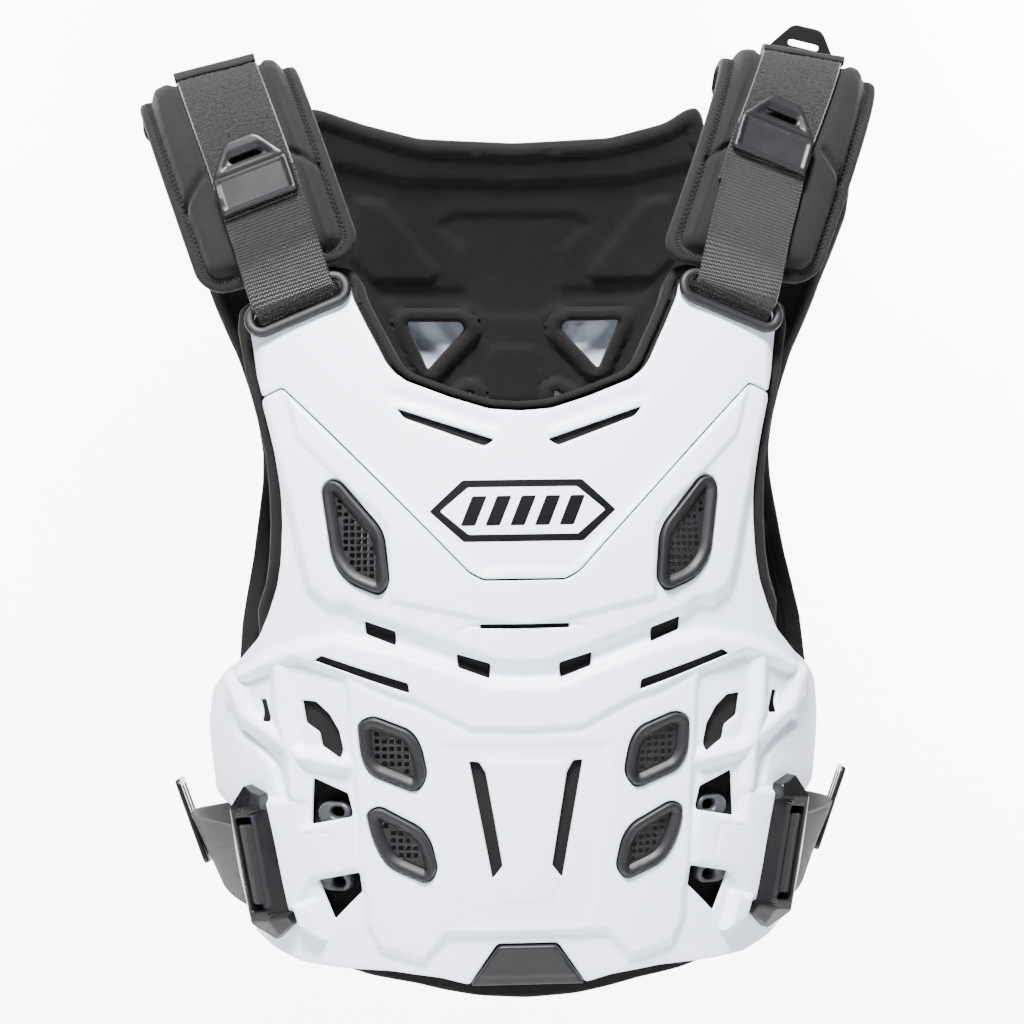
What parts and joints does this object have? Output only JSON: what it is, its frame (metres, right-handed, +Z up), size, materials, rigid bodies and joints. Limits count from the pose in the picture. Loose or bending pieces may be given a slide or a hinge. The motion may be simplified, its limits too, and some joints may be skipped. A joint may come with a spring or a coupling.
{
  "type": "roost deflector",
  "caption": "Sleeveless chest and back protector: moulded shells over foam liners, joined by padded shoulder straps and elastic side straps with buckles.",
  "frame": {"origin": "midway between the shoulders, under the ridge of the shoulder pads, where the wearer carries it", "axes": "+Z up along the standing torso, +X to the right of a viewer who faces the chest, chest towards -Y and back towards +Y"},
  "size_m": [0.4638, 0.2521, 0.5898],
  "materials": {
    "white_plastic": "smooth injection-moulded polyethylene, satin gloss",
    "black_foam": "matt closed-cell foam with a cloth face",
    "black_cloth": "padded woven cloth with stitched binding",
    "webbing": "ribbed woven webbing",
    "hook_and_loop": "dense matt pile",
    "black_plastic": "moulded, fine satin",
    "grey_plastic": "moulded, satin"
  },
  "bodies": {
    "root": {"chest_shell": "white_plastic", "chest_yoke": "white_plastic", "back_shell": "white_plastic", "chest_liner": "black_foam", "back_liner": "black_foam", "shoulder_pad_left": "black_cloth", "hook_strip_left": "hook_and_loop", "front_strap_left": "webbing", "rear_strap_left": "webbing", "side_strap_left": "webbing", "strap_guide_left": "black_plastic", "rear_guide_left": "black_plastic", "front_tab_left": "black_plastic", "rear_tab_left": "black_plastic", "side_buckle_left": "black_plastic", "rear_buckle_left": "black_plastic", "side_slide_left": "black_plastic", "vent_upper_left": "black_plastic", "vent_mid_left": "black_plastic", "vent_low_left": "black_plastic", "latch_hook_upper_left": "grey_plastic", "latch_hook_lower_left": "grey_plastic", "shoulder_pad_right": "black_cloth", "hook_strip_right": "hook_and_loop", "front_strap_right": "webbing", "rear_strap_right": "webbing", "side_strap_right": "webbing", "strap_guide_right": "black_plastic", "rear_guide_right": "black_plastic", "front_tab_right": "black_plastic", "rear_tab_right": "black_plastic", "side_buckle_right": "black_plastic", "rear_buckle_right": "black_plastic", "side_slide_right": "black_plastic", "vent_upper_right": "black_plastic", "vent_mid_right": "black_plastic", "vent_low_right": "black_plastic", "latch_hook_upper_right": "grey_plastic", "latch_hook_lower_right": "grey_plastic", "hem_badge": "grey_plastic"}
  },
  "joints": []
}
